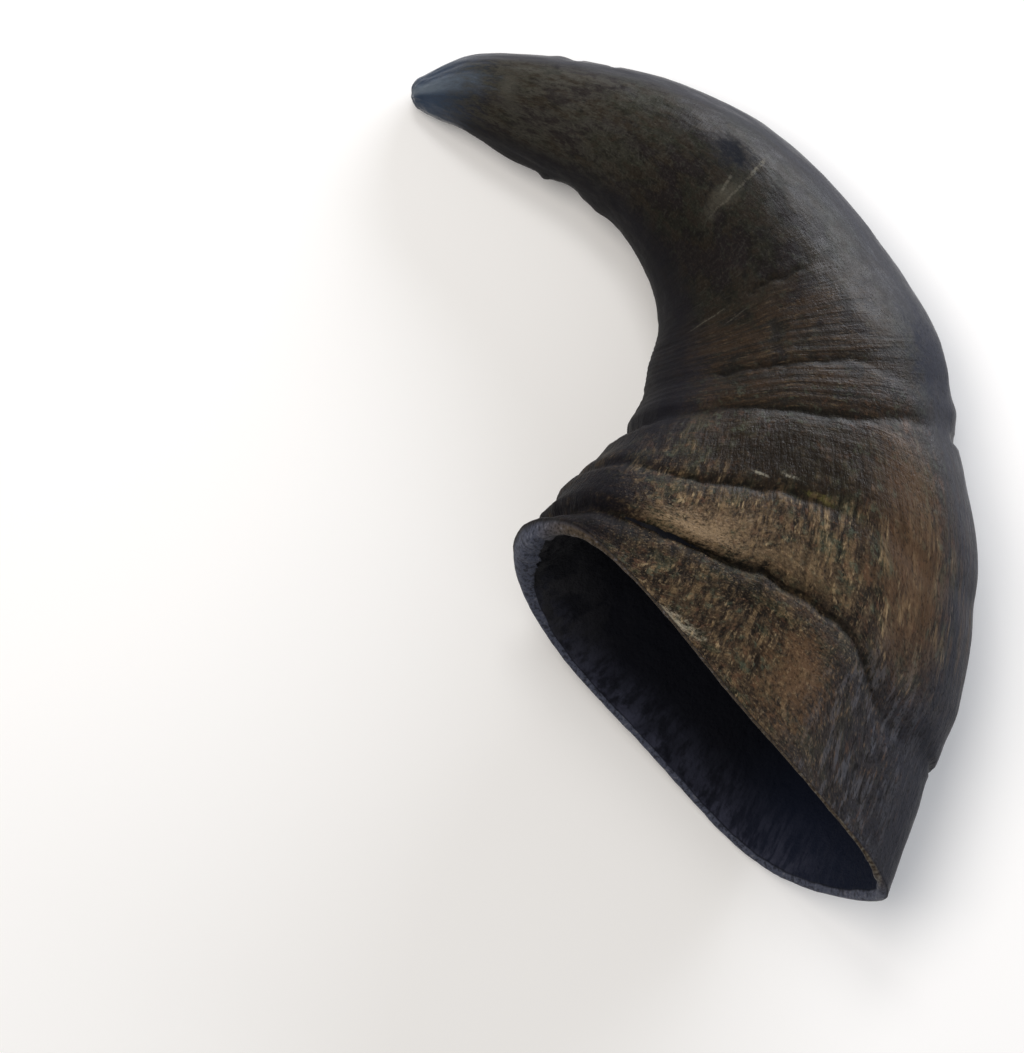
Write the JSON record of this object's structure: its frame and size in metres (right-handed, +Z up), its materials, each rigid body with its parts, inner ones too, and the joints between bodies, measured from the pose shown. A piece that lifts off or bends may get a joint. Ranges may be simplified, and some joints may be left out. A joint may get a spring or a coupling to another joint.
{
  "type": "buffalo horn",
  "caption": "Curved, keeled horn sheath with growth rings, hollow from a slanted sawn mouth and solid at its blunt tip, lying on its side.",
  "frame": {"origin": "on the surface that the horn lies on, under the middle of its outline seen from above", "axes": "+Z up, away from the surface that the horn lies on; +Y along the horn's length, from the sawn mouth's end to the tip's end; +X toward the outer side of the curl"},
  "size_m": [0.1132, 0.1708, 0.0503],
  "materials": {
    "keratin": "dry, waxy dark brown horn with growth rings and dusty fibres"
  },
  "bodies": {
    "root": {"horn": "keratin"}
  },
  "joints": []
}
